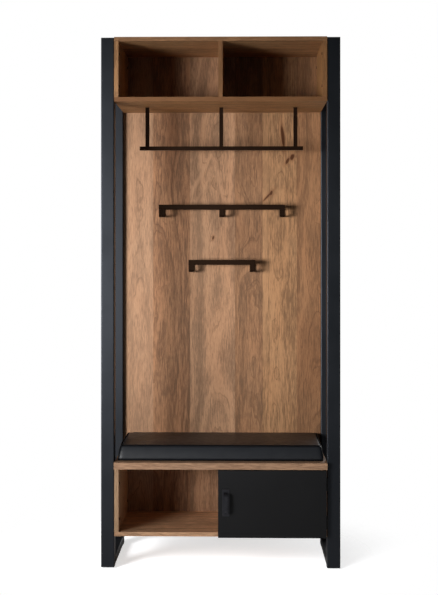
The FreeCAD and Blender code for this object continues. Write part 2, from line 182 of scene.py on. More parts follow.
def marks_on(tree, place, grain, ring, marks):
    """Ring distance with the rings bent round the marks, and the strength of each kind of mark.

    Distance from a mark = length of the place in units of the ellipse's half
    axes + a ripple. The bend and the strength fade over that distance, and
    where two marks of a kind meet, the stronger holds.
    marks: (x, z, half width, half height, slant, darkness, edge softness),
    where a darkness below zero is a pale streak.
    """
    strength = {}
    for x, z, half_width, half_height, slant, darkness, soft in marks:
        spot = add(tree, "Mapping", {"vector_type": "TEXTURE"}, {
            "Vector": place, "Location": (x, 0, z), "Rotation": (0, slant, 0),
            "Scale": (half_width, ANY_DEPTH, half_height)})
        ripple = grain_noise(tree, grain, *RIPPLE_NOISE)
        ripple = add(tree, "Math", PRODUCT_SUM, {0: ripple, 1: RIPPLE, 2: -RIPPLE / 2})
        away = add(tree, "VectorMath", LENGTH, {0: spot}).outputs["Value"]
        away = add(tree, "Math", SUM, {0: away, 1: ripple})
        bend = add(tree, "MapRange", SOFT_STEP, {
            "Value": away, "From Min": 0.0, "From Max": BEND_REACH,
            "To Min": min(half_width, BEND_MOST) * BEND, "To Max": 0.0})
        ring = add(tree, "Math", SUM, {0: ring, 1: bend})
        fades = {"dark" if darkness > 0 else "pale": (1 - soft, 1 + soft, abs(darkness))}
        if darkness > KNOT:
            fades["halo"] = HALO
        for kind, (start, end, most) in fades.items():
            here = add(tree, "MapRange", SOFT_STEP, {
                "Value": away, "From Min": start, "From Max": end, "To Min": most, "To Max": 0.0})
            if kind in strength:
                here = add(tree, "Math", {"operation": "MAXIMUM"}, {0: strength[kind], 1: here})
            strength[kind] = here
    return ring, strength


print("a knot's halo reaches", HALO[1], "times as far as the knot")

# %% [markdown]
# ## Mango wood: fibres and pores
#
# Fibres and pores are streaks, long along the grain. They are drawn a few
# millimetres wide, coarser than the tenths of a millimetre they measure, so that
# they still show from across a room. Thin dark lines follow the rings, stronger
# where the wood is pale. Patches a hand wide turn a little warmer or cooler, as
# boards do where they had more sun or more sap.
#
# Noise keeps near 0.5, so a soft step over the narrow range where it lies
# spreads it out from 0 to 1.

# %% Figure of the wood
# mm across, mm long, detail, and roughness where it isn't 0.5
CLOUD, STREAK, FIBRE = (80, 300, 3), (15, 300, 3, 0.6), (3.6, 46, 4, 0.72)
PORE, PATCH = (2.0, 26, 1), (110, 240, 2)
BANDS, CLOUDS, STREAKS, FIBRES = 0.28, 0.16, 0.07, 0.49    # what each pattern adds to the tone
LINE_SHIFT = 3.2                                           # rings that the bands shift the lines by
LINE_HALF = 0.12                                           # half width of a line, in rings


def wood_figure(tree, grain, ring):
    """Tone, dark ring lines, fibres, pores and warmth, each from 0 to 1.

    Tone = noise along the ring distance + soft clouds + long streaks + short
    fibres. A ring line lies wherever the ring distance, shifted by the bands,
    passes a whole number of rings.
    """
    bands = add(tree, "TexNoise", {"noise_dimensions": "1D"},
                {"W": ring, "Scale": mm(BAND), "Detail": 5.0, "Roughness": 0.64})
    clouds = grain_noise(tree, grain, *CLOUD)
    streaks = grain_noise(tree, grain, *STREAK)
    fibres = grain_noise(tree, grain, *FIBRE)
    tone = add(tree, "Math", PRODUCT, {0: bands, 1: BANDS})
    for pattern, part in ((clouds, CLOUDS), (streaks, STREAKS), (fibres, FIBRES)):
        tone = add(tree, "Math", PRODUCT_SUM, {0: pattern, 1: part, 2: tone})
    tone = add(tree, "MapRange", SOFT_STEP, {"Value": tone, "From Min": 0.41, "From Max": 0.59})

    rings = add(tree, "Math", PRODUCT, {0: ring, 1: mm(RING)})
    rings = add(tree, "Math", PRODUCT_SUM, {0: bands, 1: LINE_SHIFT, 2: rings})
    from_line = add(tree, "Math", {"operation": "PINGPONG"}, {0: rings, 1: 0.5})
    lines = add(tree, "MapRange", SOFT_STEP, {
        "Value": from_line, "From Min": 0.0, "From Max": LINE_HALF, "To Min": 1.0, "To Max": 0.0})
    strong = add(tree, "MapRange", SOFT_STEP, {
        "Value": clouds, "From Min": 0.36, "From Max": 0.60, "To Min": 0.12, "To Max": 0.60})
    lines = add(tree, "Math", PRODUCT, {0: lines, 1: strong})

    pores = grain_noise(tree, grain, *PORE)
    pores = add(tree, "MapRange", SOFT_STEP, {"Value": pores, "From Min": 0.58, "From Max": 0.70})
    warmth = grain_noise(tree, grain, *PATCH)
    warmth = add(tree, "MapRange", SOFT_STEP, {"Value": warmth, "From Min": 0.36, "From Max": 0.64})
    return tone, lines, fibres, pores, warmth


print("wood scales in mm: fibres", FIBRE[:2], "streaks", STREAK[:2], "pores", PORE[:2])

# %% [markdown]
# ## Mango wood: colour and relief
#
# The tone mixes two shades, a dark and a pale one. Everything else is laid over
# them, one layer at a time: ring lines, pores, stains, and the front edge of a
# board. That edge is darker where sanding opens the pores, so that they drink more
# oil, and darker still as painted shade where less light reaches it, most on the
# top box. The fibres stand out a little and the pores are pressed in, under a matt lacquer.

# %% Wood material
# factors on the middle colour, in red, green and blue
LINE, PALE = (0.42, 0.36, 0.31), (1.6, 1.62, 1.66)
STAINED, KNOTTY = (0.78, 0.60, 0.48), (0.23, 0.105, 0.0)
WARMER, COOLER = (1.02, 0.99, 0.97, 1.0), (0.995, 1.0, 1.005, 1.0)
PORE_SHARE, PORE_DEPTH = 0.45, -0.6      # how dark a pore is, and its depth in fibre heights
EDGE_START, EDGE_END = 0.0005, 0.0035    # m behind the front face


def wood(name, tone, contrast, pith, along="Z", seed=0.0, marks=(), arches=1.3, front=None):
    """Wood with its rings, marks and figure. Shades = the middle colour times a factor, 1 - or + contrast.

    tone: middle colour; pith: where the pith line passes, across and behind the
    board, in metres; along: the axis of the grain; seed: how far along the trunk
    the board was cut; marks: as for marks_on; arches: how much the pith wanders;
    front: (y of the front face, how much darker the edge there is, from sanded
    wood and painted shade).
    """
    material, tree = blank_material(name)
    place = add(tree, "TexCoord").outputs["Object"]
    turn = (0.0, -math.pi / 2, 0.0) if along == "X" else (0.0, 0.0, 0.0)
    grain = add(tree, "Mapping", {}, {
        "Vector": place, "Rotation": turn, "Location": (-pith[0], -pith[1], seed)})
    ring = ring_distance(tree, grain, arches)
    ring, strength = marks_on(tree, place, grain, ring, marks)
    tones, lines, fibres, pores, warmth = wood_figure(tree, grain, ring)

    middle = np.array(colour(tone)[:3])

    def times(*factors):
        """The middle colour times one factor, or one for each channel, and at most 1."""
        return (*np.minimum(middle * factors, 1).tolist(), 1.0)

    line = times(*LINE)
    base = add(tree, "Mix", COLOURS, {0: tones, 6: times(1 - contrast), 7: times(1 + contrast)}).outputs[2]
    tint = add(tree, "Mix", COLOURS, {0: warmth, 6: WARMER, 7: COOLER}).outputs[2]
    base = add(tree, "Mix", COLOURS | {"blend_type": "MULTIPLY"}, {0: 1.0, 6: base, 7: tint}).outputs[2]
    layers = [(lines, line), (add(tree, "Math", PRODUCT, {0: pores, 1: PORE_SHARE}), line)]
    stains = {"pale": times(*PALE), "halo": times(*STAINED), "dark": times(*KNOTTY)}
    layers += [(strength[kind], stain) for kind, stain in stains.items() if kind in strength]
    # front edge: darker for sanded pores, and as painted shade where less light reaches it
    if front is not None:
        y, darker = front
        depth = add(tree, "SeparateXYZ", {}, {0: place}).outputs["Y"]
        edge = add(tree, "MapRange", SOFT_STEP, {
            "Value": depth, "From Min": y + EDGE_START, "From Max": y + EDGE_END,
            "To Min": darker, "To Max": 0.0})
        layers.append((edge, line))
    for share, shade in layers:
        base = add(tree, "Mix", COLOURS, {0: share, 6: base, 7: shade}).outputs[2]

    relief = add(tree, "Math", PRODUCT_SUM, {0: pores, 1: PORE_DEPTH, 2: fibres})
    bump = add(tree, "Bump", {}, {"Strength": 0.22, "Distance": 0.0007, "Height": relief})
    shader = add(tree, "BsdfPrincipled", {}, {
        "Base Color": base, "Roughness": 0.55, "IOR": 1.5, "Specular IOR Level": 0.25, "Normal": bump})
    add(tree, "OutputMaterial", {}, {"Surface": shader})
    return material


print("edges darken over", round(1000 * (EDGE_END - EDGE_START), 1), "mm")

# %% [markdown]
# ## The six planks of the back panel
#
# A glued panel is never one colour: each plank comes from another tree, or from
# another part of it. So each has its own tone, its own pith line, and its own
# knots. Sapwood planks are pale and orange, heartwood is browner.

# %% Planks
PLANKS = {
    # node: tone, contrast, pith across and behind, seed, marks
    "back_plank_1": ("#8f6d52", 0.27, (-0.335, 0.255), 1.7, ()),
    "back_plank_2": ("#825d41", 0.42, (-0.250, 0.290), 5.2, (
        (-0.206, 1.600, 0.0320, 0.170, 0.00, 0.42, 0.80),
        (-0.245, 0.520, 0.0400, 0.090, 0.00, -0.16, 0.90))),
    "back_plank_3": ("#906d51", 0.37, (-0.020, 0.262), 9.1, (
        (-0.036, 1.250, 0.004, 0.008, 0.3, 0.90, 0.35),
        (-0.089, 1.499, 0.007, 0.094, 0.48, -0.45, 0.9),
        (-0.064, 1.468, 0.005, 0.070, 0.52, -0.30, 0.9),
        (-0.014, 1.489, 0.007, 0.088, -0.26, -0.35, 0.9),
        (-0.085, 1.180, 0.030, 0.160, 0.00, -0.16, 0.9),
        (0.010, 1.300, 0.030, 0.120, 0.00, 0.16, 0.9),
        (0.005, 0.640, 0.035, 0.160, 0.00, 0.14, 0.9))),
    "back_plank_4": ("#7b593e", 0.38, (0.125, 0.300), 13.4, (
        (0.090, 1.260, 0.055, 0.090, 0.00, 0.24, 0.90),)),
    "back_plank_5": ("#866344", 0.42, (0.215, 0.250), 17.8, (
        (0.247, 1.660, 0.0065, 0.044, -0.10, 1.00, 0.35),
        (0.285, 1.578, 0.0075, 0.013, 0.40, 1.00, 0.35),
        (0.266, 1.562, 0.0055, 0.014, 0.50, 0.95, 0.35),
        (0.185, 1.418, 0.0038, 0.028, 0.75, 0.90, 0.40),
        (0.200, 1.432, 0.0050, 0.010, 0.30, 1.00, 0.35),
        (0.175, 1.330, 0.0110, 0.560, 0.00, -0.40, 0.70),
        (0.185, 1.530, 0.0300, 0.100, 0.00, -0.22, 0.90))),
    "back_plank_6": ("#7e5a3d", 0.34, (0.380, 0.265), 22.6, (
        (0.355, 0.750, 0.060, 0.200, 0.00, 0.26, 0.90),
        (0.355, 1.420, 0.050, 0.180, 0.00, -0.12, 0.90))),
}
for node, (tone, contrast, pith, seed, marks) in PLANKS.items():
    dress(wood(node.replace("back", "mango"), tone, contrast, pith, seed=seed, marks=marks), node)

# %% [markdown]
# ## The boards of the two boxes
#
# Top and bottom boards have their grain across the width. The uprights have it
# standing, so that the long grain shows on every front edge. The front edges of
# the top box are the darkest: painted shade, where less light reaches them. The
# boards of the bench are paler, and their edges differ less from their faces.

# %% Boards
BOARDS = {
    # node: tone, grain, pith across and behind, seed, how dark the front edge is (sanding and painted
    # shade)
    "box_top": ("#ad825b", "X", (-2.06, 0.02), 31.0, 0.50),
    "box_bottom": ("#9c7048", "X", (-1.70, 0.05), 34.5, 0.88),
    "box_left_side": ("#a47b53", "Z", (-0.45, 0.02), 37.2, 0.45),
    "box_divider": ("#9c724b", "Z", (0.06, -0.06), 40.4, 0.70),
    "box_right_side": ("#936942", "Z", (0.45, 0.05), 43.9, 0.45),
    "bench_top": ("#ab886c", "X", (-0.46, 0.03), 47.3, 0.45),
    "bench_bottom": ("#c09876", "X", (-0.07, -0.02), 50.7, 0.34),
    "bench_left_side": ("#b49575", "Z", (-0.45, 0.04), 54.1, 0.60),
    "bench_divider": ("#b18969", "Z", (0.05, 0.03), 57.8, 0.45),
    "bench_right_side": ("#a68164", "Z", (0.45, -0.03), 61.5, 0.45),
}
BOARD_CONTRAST, BOARD_ARCHES = 0.42, 0.8
for node, (tone, along, pith, seed, darker) in BOARDS.items():
    front = (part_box(node)[0].y, darker)
    board = wood(f"mango_{node}", tone, BOARD_CONTRAST, pith, along, seed, arches=BOARD_ARCHES, front=front)
    dress(board, node)

# %% [markdown]
# ## Beech dowels
#
# Dowels are turned from pale, plain beech and left raw. They stand inside the
# joints, so only their ends could ever show.

# %% Dowels
beech = wood("beech_dowels", "#c9a77c", contrast=0.10, pith=(0.0, -0.3), seed=70.0, arches=0.3)
dress(beech, "box_dowels", "bench_dowels")

# %% [markdown]
# ## Powder-coated steel
#
# Powder is sprayed on dry and baked. It flows into a satin skin with a faint
# orange peel, a ripple about two millimetres wide, so reflections of a large
# lamp spread softly over the tubes. Slow changes of roughness keep a two-metre
# post from looking like plastic film. The side frames are a bluish black, and
# the blue tint of their shine is a painted reflection of a bluish lamp. The rails
# are a brownish black, which shows in the tint of their shine.

# %% Painted steel
# the frames' blue shine tint is a painted reflection of a bluish lamp
PAINTED_BLUE_SHEEN, BROWNISH = (0.80, 0.86, 1.0, 1.0), (1.0, 0.58, 0.36, 1.0)
WHITE = (1.0, 1.0, 1.0, 1.0)
ROUGHNESS_PATCH = 170    # mm across a patch of one roughness


def satin_paint(name, code, roughness, uneven, peel, depth, shine, tint=WHITE):
    """Satin paint: ripple noise gives the bump, slow noise moves the roughness up and down by uneven."""
    material, tree = blank_material(name)
    place = add(tree, "TexCoord").outputs["Object"]
    slow = add(tree, "TexNoise", {}, {"Vector": place, "Scale": mm(ROUGHNESS_PATCH), "Detail": 3.0})
    spread = add(tree, "MapRange", {}, {
        "Value": slow, "From Min": 0.3, "From Max": 0.7,
        "To Min": roughness - uneven, "To Max": roughness + uneven})
    ripple = add(tree, "TexNoise", {}, {"Vector": place, "Scale": mm(peel), "Detail": 2.0})
    bump = add(tree, "Bump", {}, {"Strength": depth, "Distance": 0.0002, "Height": ripple})
    shader = add(tree, "BsdfPrincipled", {}, {
        "Base Color": colour(code), "Roughness": spread, "IOR": 1.5,
        "Specular IOR Level": shine, "Specular Tint": tint, "Normal": bump})
    add(tree, "OutputMaterial", {}, {"Surface": shader})
    return material


# frame shine tinted blue: painted reflection of a bluish lamp
frame_paint = satin_paint("powder_coated_steel_frame", "#0f1113", roughness=0.44, uneven=0.05,
                          peel=2.2, depth=0.12, shine=0.42, tint=PAINTED_BLUE_SHEEN)
rail_paint = satin_paint("powder_coated_steel_rails", "#130a06", roughness=0.46, uneven=0.04,
                         peel=1.6, depth=0.15, shine=0.16, tint=BROWNISH)
tubes = [f"{side}_{part}" for side in ("left", "right")
         for part in ("front_post", "rear_post", "floor_runner", "top_rail")]
dress(frame_paint, *tubes, "panel_tabs", "foot_plates")
dress(rail_paint, "hanging_rail_bar", "hanging_rail_rods", "upper_hook_rail_bar",
      "upper_hook_rail_hooks", "lower_hook_rail_bar", "lower_hook_rail_hooks")

# %% [markdown]
# ## Black lacquered door
#
# The door is a plain board, sprayed with matt black lacquer: smoother than the
# powder coat, with hardly any ripple.

# %% Door
lacquer = satin_paint("matt_black_lacquer", "#0c0c0e", roughness=0.50, uneven=0.03,
                      peel=4.0, depth=0.05, shine=0.26)
dress(lacquer, "door_panel")

# %% [markdown]
# ## Blackened steel
#
# The pull is bent steel, blackened and waxed. From the front it is as dark as
# the door and shows mostly by its outline; from the side its wax gives it a
# livelier shine than lacquer has. Hinges, bolts and screws are blackened too,
# and the bolts of the boxes have a brown, bronzed finish.

# %% Pull, hinges and bolts
OXIDE_CLOUD = 9      # mm across a cloud of darker oxide
OXIDE_DARK = 0.55    # how bright it is next to the rest
OXIDE_UNEVEN = 0.15  # how far the roughness swings


def blackened_steel(name, code, roughness):
    """Waxed black oxide: a metal whose colour and gloss both change in small clouds."""
    material, tree = blank_material(name)
    place = add(tree, "TexCoord").outputs["Object"]
    clouds = add(tree, "TexNoise", {}, {"Vector": place, "Scale": mm(OXIDE_CLOUD), "Detail": 5.0})
    dark = tuple(OXIDE_DARK * part for part in colour(code)[:3]) + (1.0,)
    base = add(tree, "Mix", COLOURS, {0: clouds, 6: dark, 7: colour(code)}).outputs[2]
    gloss = add(tree, "MapRange", {}, {
        "Value": clouds, "To Min": roughness - OXIDE_UNEVEN, "To Max": roughness + OXIDE_UNEVEN})
    bump = add(tree, "Bump", {}, {"Strength": 0.2, "Distance": 0.0002, "Height": clouds})
    shader = add(tree, "BsdfPrincipled", {}, {
        "Base Color": base, "Roughness": gloss, "Metallic": 0.7, "Normal": bump})
    add(tree, "OutputMaterial", {}, {"Surface": shader})
    return material


dress(blackened_steel("waxed_black_steel_pull", "#3a3a3f", 0.34), "pull_plate", "pull_grip")
dress(blackened_steel("black_oxide_steel", "#2a2927", 0.40), "pull_screws", "hook_rail_bolts",
      "panel_screws", "hanging_rail_studs", "hinge_fixed_leaves", "hinge_door_leaves", "hinge_pins",
      "hinge_fixed_screws", "hinge_door_screws")
dress(blackened_steel("bronzed_steel_bolts", "#5a3f2c", 0.50), "box_bolts", "bench_bolts")

# %% [markdown]
# ## Small fittings
#
# The strike plate and the screws of the catch are zinc plated: a bright metal
# with fine rolling lines. Caps, glides and the catch are moulded plastic with a
# fine spark-eroded texture, and the door's bumpers are clear-grey soft rubber.

# %% Fittings
def plated_steel(name, code):
    """Zinc plate: metal with fine lines along Z, 0.5 mm apart, in its gloss and bump."""
    material, tree = blank_material(name)
    place = add(tree, "TexCoord").outputs["Object"]
    lines = add(tree, "VectorMath", PRODUCT, {0: place, 1: (mm(0.5), mm(0.5), mm(30))})
    lines = add(tree, "TexNoise", {}, {"Vector": lines, "Scale": 1.0, "Detail": 3.0})
    gloss = add(tree, "MapRange", {}, {"Value": lines, "To Min": 0.25, "To Max": 0.48})
    bump = add(tree, "Bump", {}, {"Strength": 0.15, "Distance": 0.0001, "Height": lines})
    shader = add(tree, "BsdfPrincipled", {}, {
        "Base Color": colour(code), "Roughness": gloss, "Metallic": 1.0, "Normal": bump})
    add(tree, "OutputMaterial", {}, {"Surface": shader})
    return material


def moulded(name, code, roughness, texture, depth):
    """Moulded plastic or rubber, with a grain of so many millimetres from the mould."""
    material, tree = blank_material(name)
    place = add(tree, "TexCoord").outputs["Object"]
    grain = add(tree, "TexNoise", {}, {"Vector": place, "Scale": mm(texture), "Detail": 4.0})
    bump = add(tree, "Bump", {}, {"Strength": depth, "Distance": 0.0001, "Height": grain})
    shader = add(tree, "BsdfPrincipled", {}, {
        "Base Color": colour(code), "Roughness": roughness, "IOR": 1.49, "Normal": bump})
    add(tree, "OutputMaterial", {}, {"Surface": shader})
    return material


dress(plated_steel("zinc_plated_steel", "#b9b8b2"), "strike_plate", "strike_screws", "catch_screws")
plastic = moulded("black_polypropylene", "#1d1f21", roughness=0.55, texture=0.6, depth=0.3)
nylon = moulded("black_nylon_glides", "#1a1a1b", roughness=0.6, texture=0.8, depth=0.3)
rubber = moulded("grey_bumper_rubber", "#6b6b68", roughness=0.7, texture=0.5, depth=0.2)
dress(plastic, "post_caps", "magnetic_catch")
dress(nylon, "floor_glides")
dress(rubber, "door_bumpers")

# %% [markdown]
# ## The seat cushion
#
# A box cushion has two flat covers and a band between them, sewn round a slab
# of foam. The foam is cut a little too large, so it pushes the leather out into
# a crown and rounds every edge. The covers are pulled in at their seams, and the
# band leans outwards to its foot, most at the front.
#
# First comes its outline: a rounded rectangle, with each side drawn in by its
# own lean.

# %% Outline of the cushion
low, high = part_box("seat_cushion")
middle = (low + high) / 2
half_x, half_y = (high.x - low.x) / 2, (high.y - low.y) / 2
foot_z, seam_z = low.z + 0.001, high.z                    # the air will push the foot down
CORNER = 0.014                                            # corner radius, seen from above
SWELL = 0.002                                             # room left for the swelling
FRONT_LEAN, SIDE_LEAN, BACK_LEAN = 0.018, 0.009, 0.003    # how far in the band leans


def rounded_rectangle(half_x, half_y, corner, count):
    """Even points round a rectangle: quarter circles at the corners, joined by straight lines."""
    quarter = np.linspace(0, math.pi / 2, 13)
    turn = (quarter[None, :] + np.arange(4)[:, None] * math.pi / 2).ravel()
    side_x = np.repeat([1, -1, -1, 1], len(quarter)) * (half_x - corner)
    side_y = np.repeat([1, 1, -1, -1], len(quarter)) * (half_y - corner)
    line = np.stack([side_x + corner * np.cos(turn), side_y + corner * np.sin(turn)], 1)
    line = np.vstack([line, line[:1]])
    walked = np.concatenate([[0], np.cumsum(np.linalg.norm(np.diff(line, axis=0), axis=1))])
    at = np.linspace(0, walked[-1], count, endpoint=False)
    return np.stack([np.interp(at, walked, line[:, k]) for k in (0, 1)], 1)


def outline(share, lean, inset, z, count):
    """Rounded rectangle at one height: each side comes in by the inset + lean times its own lean."""
    front, side, back = inset + lean * np.array([FRONT_LEAN, SIDE_LEAN, BACK_LEAN])
    line = rounded_rectangle(half_x - side, half_y - (front + back) / 2, CORNER, count) * share
    return np.column_stack([line + (middle.x, middle.y + (front - back) / 2), np.full(count, z)])


print("cushion", [round(1000 * v) for v in (2 * half_x, 2 * half_y, high.z - low.z)], "mm")

# %% [markdown]
# ## Sewn shape
#
# A stack of such outlines makes a closed surface: the covers are rings that
# shrink to the middle, and the band is rings that lean in as they rise. Quads
# join neighbouring rings, and one many-sided face closes each middle.

# %% Sewn shape of the cushion
CROWN = 0.001      # rise of the top's middle
FOOT = 0.002       # height and width of the rounding at the foot
TUCK = 0.001       # how far a cover is drawn in at its seam


def mesh_object(name, points, faces, caps=()):
    """Smooth object at the origin, from arrays of points and faces, and faces of other sizes as caps."""
    mesh = bpy.data.meshes.new(name)
    mesh.from_pydata(points.tolist(), [], faces.tolist() + [cap.tolist() for cap in caps])
    mesh.validate()
    mesh.polygons.foreach_set("use_smooth", np.ones(len(mesh.polygons), bool))
    thing = bpy.data.objects.new(name, mesh)
    bpy.context.scene.collection.objects.link(thing)
    return thing


def ring_faces(rings, count, closed=False):
    """Quads between neighbouring rings of points; closed also joins the last ring to the first.

    They face outwards where the rings turn left and go from the bottom to the top.
    """
    last = rings if closed else rings - 1
    ring, step = np.meshgrid(np.arange(last), np.arange(count), indexing="ij")
    following, ahead = (ring + 1) % rings, (step + 1) % count
    corners = [(ring, step), (ring, ahead), (following, ahead), (following, step)]
    corners = [row * count + column for row, column in corners]
    return np.stack([corner.ravel() for corner in corners], 1)


def sewn_shape(count=240):
    """Rings from the middle of the bottom, up the leaning band, to the middle of the top.

    Each ring is (share of the outline, lean, inset, height): the covers shrink to
    the middle, the lean grows as the height ^ 1.5, and the top rises by the crown
    times 1 - share ^ 4.
    """
    shares = np.array([0.02, 0.25, 0.5, 0.75, 0.9])
    rows = [(s, 0, SWELL + FOOT + TUCK, foot_z) for s in shares]
    rows += [(1, 0, SWELL + FOOT, foot_z), (1, 0, SWELL, foot_z + FOOT)]
    rows += [(1, t**1.5, SWELL, foot_z + FOOT + t * (seam_z - foot_z - FOOT - TUCK))
             for t in (0.2, 0.4, 0.6, 0.8, 1)]
    rows += [(1, 1, SWELL + TUCK, seam_z)]
    rows += [(s, 1, SWELL + TUCK, seam_z + CROWN * (1 - s**4)) for s in shares[::-1]]
    points = np.vstack([outline(*row, count) for row in rows])
    caps = [np.arange(count)[::-1], np.arange(count) + (len(rows) - 1) * count]
    return points, ring_faces(len(rows), count), caps


cushion = mesh_object("cushion", *sewn_shape())
print("sewn shape:", len(cushion.data.vertices), "points")

# %% [markdown]
# ## Even squares
#
# Cloth bends alike only where its faces are alike, so the shape is remeshed into
# squares of 5 mm. The two lines of stitches, where band and covers meet, are
# kept as lines of points, because the remeshing forgets them.

# %% Remesh
SQUARE = 0.005
SEAM_POINTS = 720
SEAMS = {
    "top_piping": outline(1, 1, SWELL, seam_z, SEAM_POINTS),
    "bottom_piping": outline(1, 0, SWELL, foot_z + FOOT, SEAM_POINTS),
}


def read_points(mesh):
    """Mesh points as an array of rows."""
    flat = np.empty(len(mesh.vertices) * 3)
    mesh.vertices.foreach_get("co", flat)
    return flat.reshape(-1, 3)


def apply_modifiers(thing):
    """Puts the mesh that the modifiers give in place of the object's own."""
    view = bpy.context.evaluated_depsgraph_get()
    thing.data = bpy.data.meshes.new_from_object(thing.evaluated_get(view))
    thing.modifiers.clear()
    thing.data.name = thing.name


remesh = cushion.modifiers.new("Even squares", "REMESH")
remesh.mode, remesh.voxel_size = "VOXEL", SQUARE
apply_modifiers(cushion)
sewn = read_points(cushion.data)
print("even squares:", len(sewn), "points")

# %% [markdown]
# ## Filling the cushion
#
# Air pressure in a cloth simulation gives the swelling that is hard to draw by
# hand. There is no gravity, and the two lines of stitches stay where they were
# sewn, so that covers and band swell apart. Each point may move only a little
# way, as leather does not stretch much. What would sink into the bench is laid
# flat on it. One round of subdivision then smooths the squares.

# %% Cloth simulation
STITCH_REACH = 0.0055                        # how near to a seam the leather is held
PRESSURE, BENDING, STRETCHING = 4.0, 2.0, 25.0
STEPS = 20
MOST = 0.004                                 # how far a point may move
PAST_FRONT, PAST_SIDES, PAST_TOP = 0.004, 0.002, 0.004    # how far past the CAD cushion it may come


def distance_to(points, line, chunk=4000):
    """Distance from each point to the nearest point of a line, worked out in chunks to save memory."""
    blocks = [points[i : i + chunk, None] for i in range(0, len(points), chunk)]
    return np.concatenate([np.sqrt(((block - line[None]) ** 2).sum(2).min(1)) for block in blocks])


def settle(mesh, points):
    """Writes points into the mesh, after keeping them above the bench and near the CAD cushion."""
    points[:, 2] = np.clip(points[:, 2], low.z, high.z + PAST_TOP)
    points[:, 0] = np.clip(points[:, 0], low.x - PAST_SIDES, high.x + PAST_SIDES)
    points[:, 1] = np.clip(points[:, 1], low.y - PAST_FRONT, high.y)
    mesh.vertices.foreach_set("co", points.ravel())
    mesh.update()


def fill_with_air(cushion, sewn):
    """Where each point of the cushion ends up after the simulation."""
    held = cushion.vertex_groups.new(name="sewn down")
    for name, line in SEAMS.items():
        near = np.flatnonzero(distance_to(sewn, line[::2]) < STITCH_REACH)
        held.add(near.tolist(), 1.0, "REPLACE")
        print(name, "holds", len(near), "points")
    cloth = cushion.modifiers.new("Filling", "CLOTH")
    cloth.settings.vertex_group_mass = held.name
    cloth.settings.quality = 6
    cloth.settings.use_pressure = True
    cloth.settings.uniform_pressure_force = PRESSURE
    cloth.settings.effector_weights.gravity = 0.0
    cloth.settings.bending_stiffness = BENDING
    cloth.settings.tension_stiffness = cloth.settings.compression_stiffness = STRETCHING
    cloth.point_cache.frame_start, cloth.point_cache.frame_end = 1, STEPS
    for step in range(1, STEPS + 1):
        bpy.context.scene.frame_set(step)
    filled = read_points(cushion.evaluated_get(bpy.context.evaluated_depsgraph_get()).data)
    cushion.modifiers.clear()
    bpy.context.scene.frame_set(1)
    return filled


move = fill_with_air(cushion, sewn) - sewn
far = np.linalg.norm(move, axis=1, keepdims=True)
settle(cushion.data, sewn + move * np.minimum(1, MOST / np.maximum(far, 1e-9)))
print("swelling: most", round(1000 * far.max(), 1), "mm, kept to", 1000 * MOST)
smooth = cushion.modifiers.new("Finer", "SUBSURF")
smooth.levels = smooth.render_levels = 1
apply_modifiers(cushion)
print("filled cushion:", len(cushion.data.polygons), "faces")

# %% [markdown]
# ## Seams
#
# Each cover is sewn to the band with a thin cord of piping in the seam. The
# stitches pull the leather down into a groove, and the piping stands in it. The
# path is found by looking for the nearest leather to the line of stitches, so
# it follows the swollen shape.

# %% Seam paths and grooves
GROOVE = 0.0038                          # depth and half width of the groove
SMOOTHINGS = 6                           # rounds of smoothing along the seam


def nearest_leather(mesh, line):
    """Each point of a line, moved to the nearest point of a mesh, then smoothed along its loop."""
    tree = BVHTree.FromPolygons([v.co for v in mesh.vertices], [tuple(p.vertices) for p in mesh.polygons])
    found = np.array([tree.find_nearest(Vector(p))[0] for p in line.tolist()])
    for _ in range(SMOOTHINGS):
        found = (np.roll(found, 1, 0) + 2 * found + np.roll(found, -1, 0)) / 4
    return found


paths = {name: nearest_leather(cushion.data, line) for name, line in SEAMS.items()}
leather_points = read_points(cushion.data)
normals = np.empty(len(leather_points) * 3)
cushion.data.vertices.foreach_get("normal", normals)
normals = normals.reshape(-1, 3)
for name, path in paths.items():
    # depth of the groove = GROOVE times e ^ -((distance / GROOVE) ^ 2)
    depth = GROOVE * np.exp(-((distance_to(leather_points, path) / GROOVE) ** 2))
    leather_points -= normals * depth[:, None]
    print(name, "groove bends", int((depth > GROOVE / 10).sum()), "points")
settle(cushion.data, leather_points)

# %% [markdown]
# ## Piping
#
# The cord is a circle carried along the seam's path. It sinks in by half its
# radius, so the leather closes against it with no gap.

# %% Piping
CORD_RADIUS, CORD_SINK = 0.0020, 0.0010
OUT_AND_UP = 0.02                        # how much the cord's outward side looks up


def tube(name, path, outward, radius, sides=8):
    """Circle carried round a closed path that turns left: each ring lies across the path's direction."""
    along = np.roll(path, -1, 0) - np.roll(path, 1, 0)
    along /= np.linalg.norm(along, axis=1, keepdims=True)
    side = np.cross(along, outward)
    side /= np.linalg.norm(side, axis=1, keepdims=True)
    out = np.cross(side, along)
    angle = np.linspace(0, 2 * math.pi, sides, endpoint=False)[None, :, None]
    ring = path[:, None] + radius * (np.cos(angle) * out[:, None] + np.sin(angle) * side[:, None])
    return mesh_object(name, ring.reshape(-1, 3), ring_faces(len(path), sides, closed=True))


pipings = []
for name, path in paths.items():
    outward = path - np.array([middle.x, middle.y, path[0, 2]])
    outward[:, 2] = OUT_AND_UP
    outward /= np.linalg.norm(outward, axis=1, keepdims=True)
    pipings.append(tube(name, path - CORD_SINK * outward, outward, CORD_RADIUS))
    print(name, "length", round(float(np.linalg.norm(np.roll(path, -1, 0) - path, axis=1).sum()), 3), "m")

# %% [markdown]
# ## Black leather
#
# Corrected cowhide: dyed through, sanded, then embossed and sealed. Close up it
# has a pebble grain about a millimetre wide; it is drawn here at 2.4 mm so that
# it still shows from across a room. The seal gives a soft shine that turns
# stronger at a low angle, so the top of the seat picks up the wood behind it.
# The piping is a cord of the same leather, drawn near black, rough and matt, so
# the seams stand out as thin dark lines: its darkness is painted shade, for the
# shadow in the seams.

# %% Leather material
CREASE = 26             # mm between creases
CREASE_HEIGHT = 1.6     # how high they are, in pebble heights
LEATHER_UNEVEN = 0.05   # how far the roughness swings


